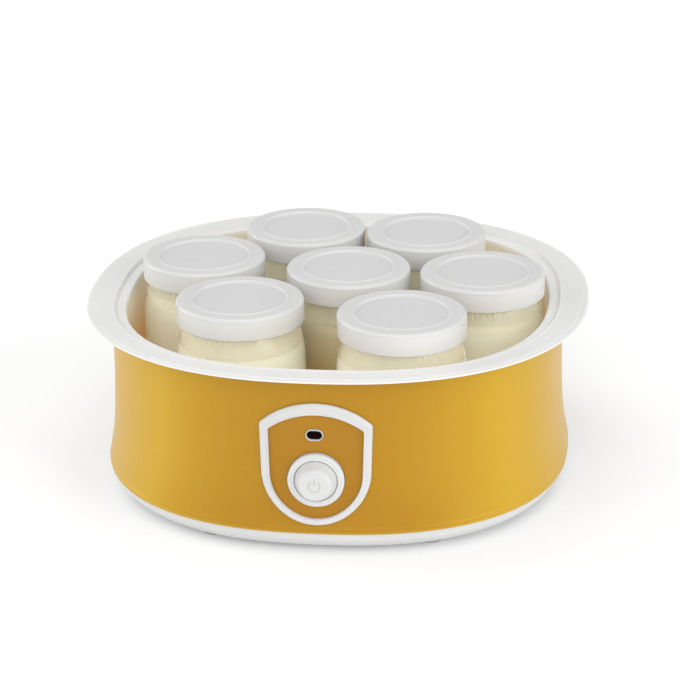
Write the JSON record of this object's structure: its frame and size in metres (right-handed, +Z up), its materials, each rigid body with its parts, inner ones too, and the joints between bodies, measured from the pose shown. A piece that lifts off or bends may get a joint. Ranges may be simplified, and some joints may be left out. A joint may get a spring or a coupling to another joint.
{
  "type": "yogurt maker",
  "caption": "Countertop yogurt maker: oval yellow warmer with a wide white tub, lidded glass jars, a shield-shaped panel with push button and indicator, and a mains cord.",
  "frame": {"origin": "on the table, under the middle of the whole object's box, cord and plug included; the body's own middle is 35.1 mm towards -Y", "axes": "+Z up, the control side faces -Y, the cord leaves towards +Y"},
  "size_m": [0.2462, 0.3114, 0.1051],
  "materials": {
    "casing_yellow": "smooth satin golden yellow",
    "panel_yellow": "smooth satin golden yellow",
    "white_plastic": "smooth satin white",
    "lid_white": "fine matt white",
    "foot_rubber": "matt soft grey",
    "steel_screw": "zinc plated",
    "indicator_rim": "light grey",
    "indicator_red": "dark red tinted, glossy",
    "lamp": "red diffused",
    "spring_steel": "bare spring wire",
    "board": "green lacquered laminate",
    "switch_black": "matt black",
    "plate_aluminium": "rolled sheet",
    "heater_sheath": "heat-darkened sheath",
    "thermostat_black": "matt black",
    "fuse_case": "plated",
    "block_cream": "matt cream",
    "lead_brown": "brown insulation",
    "lead_blue": "blue insulation",
    "cord_white": "matt white",
    "pin_metal": "nickel plated",
    "jar_glass": "clear polished",
    "yogurt": "smooth set surface"
  },
  "bodies": {
    "warmer": {"outer_casing": "casing_yellow", "inner_tub": "white_plastic", "base_cover": "white_plastic", "control_bezel": "white_plastic", "control_panel": "panel_yellow", "indicator_bezel": "indicator_rim", "indicator_lens": "indicator_red", "indicator_lamp": "lamp", "button_collar": "white_plastic", "button_spring": "spring_steel", "control_board": "board", "switch_body": "switch_black", "heating_plate": "plate_aluminium", "heater_element": "heater_sheath", "thermostat": "thermostat_black", "thermal_fuse": "fuse_case", "terminal_block": "block_cream", "lead_live": "lead_brown", "lead_neutral": "lead_blue", "strain_relief": "cord_white", "power_cord": "cord_white", "plug_body": "cord_white", "plug_pin_1": "pin_metal", "plug_pin_2": "pin_metal", "foot_1": "foot_rubber", "base_screw_1": "steel_screw", "foot_2": "foot_rubber", "base_screw_2": "steel_screw", "foot_3": "foot_rubber", "base_screw_3": "steel_screw", "foot_4": "foot_rubber", "base_screw_4": "steel_screw"},
    "power_button": {"power_button": "white_plastic"},
    "jar_1": {"jar_1": "jar_glass", "yogurt_1": "yogurt"},
    "lid_1": {"lid_1": "lid_white"},
    "jar_2": {"jar_2": "jar_glass", "yogurt_2": "yogurt"},
    "lid_2": {"lid_2": "lid_white"},
    "jar_3": {"jar_3": "jar_glass", "yogurt_3": "yogurt"},
    "lid_3": {"lid_3": "lid_white"},
    "jar_4": {"jar_4": "jar_glass", "yogurt_4": "yogurt"},
    "lid_4": {"lid_4": "lid_white"},
    "jar_5": {"jar_5": "jar_glass", "yogurt_5": "yogurt"},
    "lid_5": {"lid_5": "lid_white"},
    "jar_6": {"jar_6": "jar_glass", "yogurt_6": "yogurt"},
    "lid_6": {"lid_6": "lid_white"},
    "jar_7": {"jar_7": "jar_glass", "yogurt_7": "yogurt"},
    "lid_7": {"lid_7": "lid_white"}
  },
  "joints": [
    {"name": "power_button_press", "type": "slide", "parent": "warmer", "child": "power_button", "axis": [0, 1, 0], "range_m": [0, 0.003], "stiffness_N_per_m": 500, "springref_m": -0.001, "deforming": ["button_spring"]},
    {"name": "jar_1_lift", "type": "slide", "parent": "warmer", "child": "jar_1", "axis": [0, 0, 1], "range_m": [0, 0.1]},
    {"name": "jar_2_lift", "type": "slide", "parent": "warmer", "child": "jar_2", "axis": [0, 0, 1], "range_m": [0, 0.1]},
    {"name": "jar_3_lift", "type": "slide", "parent": "warmer", "child": "jar_3", "axis": [0, 0, 1], "range_m": [0, 0.1]},
    {"name": "jar_4_lift", "type": "slide", "parent": "warmer", "child": "jar_4", "axis": [0, 0, 1], "range_m": [0, 0.1]},
    {"name": "jar_5_lift", "type": "slide", "parent": "warmer", "child": "jar_5", "axis": [0, 0, 1], "range_m": [0, 0.1]},
    {"name": "jar_6_lift", "type": "slide", "parent": "warmer", "child": "jar_6", "axis": [0, 0, 1], "range_m": [0, 0.1]},
    {"name": "jar_7_lift", "type": "slide", "parent": "warmer", "child": "jar_7", "axis": [0, 0, 1], "range_m": [0, 0.1]},
    {"name": "lid_1_lift", "type": "slide", "parent": "jar_1", "child": "lid_1", "axis": [0, 0, 1], "range_m": [0, 0.04]},
    {"name": "lid_2_lift", "type": "slide", "parent": "jar_2", "child": "lid_2", "axis": [0, 0, 1], "range_m": [0, 0.04]},
    {"name": "lid_3_lift", "type": "slide", "parent": "jar_3", "child": "lid_3", "axis": [0, 0, 1], "range_m": [0, 0.04]},
    {"name": "lid_4_lift", "type": "slide", "parent": "jar_4", "child": "lid_4", "axis": [0, 0, 1], "range_m": [0, 0.04]},
    {"name": "lid_5_lift", "type": "slide", "parent": "jar_5", "child": "lid_5", "axis": [0, 0, 1], "range_m": [0, 0.04]},
    {"name": "lid_6_lift", "type": "slide", "parent": "jar_6", "child": "lid_6", "axis": [0, 0, 1], "range_m": [0, 0.04]},
    {"name": "lid_7_lift", "type": "slide", "parent": "jar_7", "child": "lid_7", "axis": [0, 0, 1], "range_m": [0, 0.04]}
  ]
}
